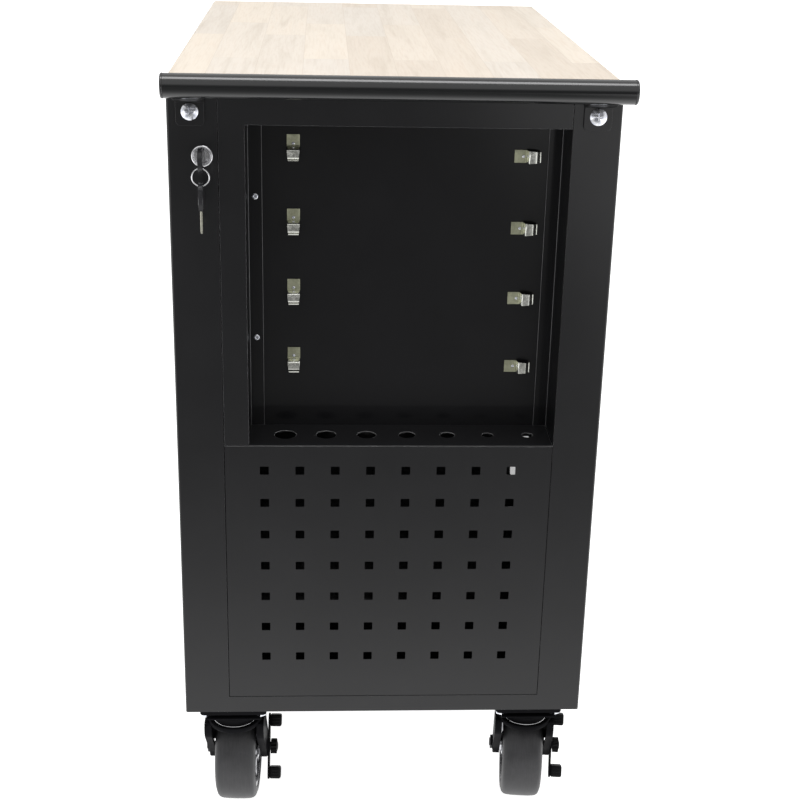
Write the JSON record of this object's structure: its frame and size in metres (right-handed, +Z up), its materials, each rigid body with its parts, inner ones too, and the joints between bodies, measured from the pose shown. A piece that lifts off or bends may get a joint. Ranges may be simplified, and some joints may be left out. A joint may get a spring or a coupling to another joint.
{
  "type": "rolling tool chest",
  "caption": "Upright rolling tool chest with full-width drawers, a side tool niche over a perforated panel, wood worktop, end push handle and braked swivel casters.",
  "frame": {"origin": "on the floor, under the middle of the overall box", "axes": "+Z up; the drawers open towards -Y; the push handle, lock and tool niche are on the +X end"},
  "size_m": [0.7332, 0.461, 0.8862],
  "materials": {
    "black_powder_coat": "satin powder coat, fine orange peel",
    "niche_powder_coat": "satin powder coat in the recess",
    "wood_top": "pale edge-glued boards, clear satin finish",
    "zinc_bright": "bright zinc plate",
    "zinc_yellow": "passivated zinc spring steel",
    "slide_steel": "zinc-plated slide steel",
    "lock_chrome": "polished chrome",
    "key_steel": "nickel-plated key blank",
    "black_plastic": "moulded black plastic",
    "pull_black": "black anodised extrusion",
    "tyre_rubber": "dark rubber, slightly worn",
    "wheel_plastic": "moulded wheel body",
    "caster_black": "black e-coat",
    "axle_steel": "zinc-plated axle"
  },
  "bodies": {
    "chest": {"worktop": "wood_top", "side_frame": "black_powder_coat", "side_panel": "black_powder_coat", "niche_frame": "black_powder_coat", "niche_back": "niche_powder_coat", "niche_cheeks": "niche_powder_coat", "tool_shelf": "black_powder_coat", "perforated_panel": "black_powder_coat", "liner_right": "black_powder_coat", "liner_left": "black_powder_coat", "back_panel": "black_powder_coat", "base_pan": "black_powder_coat", "front_rails": "black_powder_coat", "handle_tube": "black_powder_coat", "handle_caps": "black_plastic", "handle_brackets": "black_powder_coat", "handle_bolts": "zinc_bright", "lock_housing": "lock_chrome", "tool_clips": "zinc_yellow", "rivets": "zinc_bright", "slide_rails": "slide_steel", "caster_plates": "caster_black", "rigid_brackets": "caster_black", "rigid_axles": "axle_steel", "caster_bolts": "zinc_bright"},
    "drawer_1": {"drawer_1": "black_powder_coat", "pull_1": "pull_black", "slide_inner_1": "slide_steel"},
    "slide_middle_1": {"slide_middle_1": "slide_steel"},
    "drawer_2": {"drawer_2": "black_powder_coat", "pull_2": "pull_black", "slide_inner_2": "slide_steel"},
    "slide_middle_2": {"slide_middle_2": "slide_steel"},
    "drawer_3": {"drawer_3": "black_powder_coat", "pull_3": "pull_black", "slide_inner_3": "slide_steel"},
    "slide_middle_3": {"slide_middle_3": "slide_steel"},
    "drawer_4": {"drawer_4": "black_powder_coat", "pull_4": "pull_black", "slide_inner_4": "slide_steel"},
    "slide_middle_4": {"slide_middle_4": "slide_steel"},
    "caster_fork_front": {"fork_front": "caster_black", "axle_front": "axle_steel"},
    "wheel_front": {"wheel_core_front": "wheel_plastic", "tyre_front": "tyre_rubber"},
    "brake_rocker_front": {"brake_rocker_front": "black_plastic"},
    "rigid_wheel_front": {"rigid_core_front": "wheel_plastic", "rigid_tyre_front": "tyre_rubber"},
    "caster_fork_rear": {"fork_rear": "caster_black", "axle_rear": "axle_steel"},
    "wheel_rear": {"wheel_core_rear": "wheel_plastic", "tyre_rear": "tyre_rubber"},
    "brake_rocker_rear": {"brake_rocker_rear": "black_plastic"},
    "rigid_wheel_rear": {"rigid_core_rear": "wheel_plastic", "rigid_tyre_rear": "tyre_rubber"},
    "lock_plug": {"lock_plug": "lock_chrome", "lock_key": "black_plastic"},
    "lock_bar": {"lock_bar": "black_powder_coat"},
    "key_ring": {"key_ring": "key_steel"},
    "spare_key": {"spare_key": "black_plastic"}
  },
  "joints": [
    {"name": "drawer_1_slide", "type": "slide", "parent": "chest", "child": "drawer_1", "axis": [0, -1, 0], "range_m": [0, 0.35]},
    {"name": "slide_middle_1_slide", "type": "slide", "parent": "chest", "child": "slide_middle_1", "axis": [0, -1, 0], "range_m": [0, 0.175]},
    {"name": "drawer_2_slide", "type": "slide", "parent": "chest", "child": "drawer_2", "axis": [0, -1, 0], "range_m": [0, 0.35]},
    {"name": "slide_middle_2_slide", "type": "slide", "parent": "chest", "child": "slide_middle_2", "axis": [0, -1, 0], "range_m": [0, 0.175]},
    {"name": "drawer_3_slide", "type": "slide", "parent": "chest", "child": "drawer_3", "axis": [0, -1, 0], "range_m": [0, 0.35]},
    {"name": "slide_middle_3_slide", "type": "slide", "parent": "chest", "child": "slide_middle_3", "axis": [0, -1, 0], "range_m": [0, 0.175]},
    {"name": "drawer_4_slide", "type": "slide", "parent": "chest", "child": "drawer_4", "axis": [0, -1, 0], "range_m": [0, 0.35]},
    {"name": "slide_middle_4_slide", "type": "slide", "parent": "chest", "child": "slide_middle_4", "axis": [0, -1, 0], "range_m": [0, 0.175]},
    {"name": "caster_swivel_front", "type": "hinge", "parent": "chest", "child": "caster_fork_front", "pos_m": [0.286, -0.1748, 0.13], "axis": [0, 0, 1], "continuous": true},
    {"name": "wheel_spin_front", "type": "hinge", "parent": "caster_fork_front", "child": "wheel_front", "pos_m": [0.24354, -0.17295, 0.0625], "axis": [0.0436, 0.999, 0], "continuous": true},
    {"name": "brake_rocker_front_tilt", "type": "hinge", "parent": "caster_fork_front", "child": "brake_rocker_front", "pos_m": [0.24354, -0.17295, 0.0625], "axis": [0.0436, 0.999, 0], "range_deg": [0, 16]},
    {"name": "rigid_wheel_spin_front", "type": "hinge", "parent": "chest", "child": "rigid_wheel_front", "pos_m": [-0.2995, -0.1748, 0.0625], "axis": [0, 1, 0], "continuous": true},
    {"name": "caster_swivel_rear", "type": "hinge", "parent": "chest", "child": "caster_fork_rear", "pos_m": [0.286, 0.1668, 0.13], "axis": [0, 0, 1], "continuous": true},
    {"name": "wheel_spin_rear", "type": "hinge", "parent": "caster_fork_rear", "child": "wheel_rear", "pos_m": [0.24373, 0.17124, 0.0625], "axis": [0.1045, 0.9945, 0], "continuous": true},
    {"name": "brake_rocker_rear_tilt", "type": "hinge", "parent": "caster_fork_rear", "child": "brake_rocker_rear", "pos_m": [0.24373, 0.17124, 0.0625], "axis": [0.1045, 0.9945, 0], "range_deg": [0, 16]},
    {"name": "rigid_wheel_spin_rear", "type": "hinge", "parent": "chest", "child": "rigid_wheel_rear", "pos_m": [-0.2995, 0.1668, 0.0625], "axis": [0, 1, 0], "continuous": true},
    {"name": "lock_turn", "type": "hinge", "parent": "chest", "child": "lock_plug", "pos_m": [0.3185, -0.1942, 0.7996], "axis": [1, 0, 0], "range_deg": [0, 90]},
    {"name": "lock_bar_lift", "type": "slide", "parent": "chest", "child": "lock_bar", "axis": [0, 0, 1], "range_m": [0, 0.012]},
    {"name": "key_ring_swing", "type": "hinge", "parent": "lock_plug", "child": "key_ring", "pos_m": [0.3425, -0.1942, 0.7921], "axis": [0, 1, 0], "range_deg": [-60, 6]},
    {"name": "spare_key_swing", "type": "hinge", "parent": "key_ring", "child": "spare_key", "pos_m": [0.3425, -0.1942, 0.7749], "axis": [0, 1, 0], "range_deg": [-25, 4]}
  ],
  "couplings": [
    {"joint": "slide_middle_1_slide", "follows": "drawer_1_slide", "ratio": 0.5},
    {"joint": "slide_middle_2_slide", "follows": "drawer_2_slide", "ratio": 0.5},
    {"joint": "slide_middle_3_slide", "follows": "drawer_3_slide", "ratio": 0.5},
    {"joint": "slide_middle_4_slide", "follows": "drawer_4_slide", "ratio": 0.5},
    {"joint": "lock_turn", "follows": "lock_bar_lift", "rad_per_m": 130.9}
  ]
}
